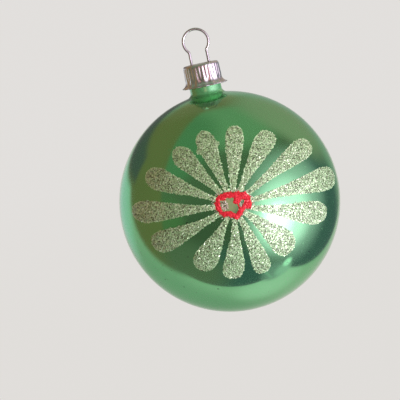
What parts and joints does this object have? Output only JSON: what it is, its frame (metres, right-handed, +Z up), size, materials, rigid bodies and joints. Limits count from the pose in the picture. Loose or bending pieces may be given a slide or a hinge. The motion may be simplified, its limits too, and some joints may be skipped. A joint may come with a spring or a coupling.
{
  "type": "glass ball ornament",
  "caption": "Hollow silvered glass ball with green lacquer, a short neck, a fluted metal cap on a sprung wire hanger, and a glitter flower on the front.",
  "frame": {"origin": "the point the ornament hangs from, at the inside top of the hanger's wire loop", "axes": "+Z up along the neck's axis, the painted flower faces -Y, and +X is to the right when facing the flower"},
  "size_m": [0.067, 0.0676, 0.087],
  "materials": {
    "wire": "bright drawn wire",
    "cap": "bright stamped sheet",
    "green_glass": "silvered inside, clear green lacquer outside, mirror gloss",
    "petal_glitter": "fine silver-green glitter in clear glue",
    "ring_glitter": "fine red glitter in clear glue",
    "dab_glitter": "fine silver glitter in clear glue"
  },
  "bodies": {
    "hanger": {"wire_hanger": "wire"},
    "cap": {"cap": "cap"},
    "ball": {"glass_ball": "green_glass", "petal_01": "petal_glitter", "petal_02": "petal_glitter", "petal_03": "petal_glitter", "petal_04": "petal_glitter", "petal_05": "petal_glitter", "petal_06": "petal_glitter", "petal_07": "petal_glitter", "petal_08": "petal_glitter", "petal_09": "petal_glitter", "petal_10": "petal_glitter", "petal_11": "petal_glitter", "petal_12": "petal_glitter", "petal_13": "petal_glitter", "petal_14": "petal_glitter", "centre_ring": "ring_glitter", "centre_dab": "dab_glitter"}
  },
  "joints": [
    {"name": "hanger_push", "type": "slide", "parent": "hanger", "child": "cap", "axis": [0, 0, 1], "range_m": [0, 0.003]},
    {"name": "ball_pull_off", "type": "slide", "parent": "cap", "child": "ball", "axis": [0, 0, -1], "range_m": [0, 0.02]}
  ]
}
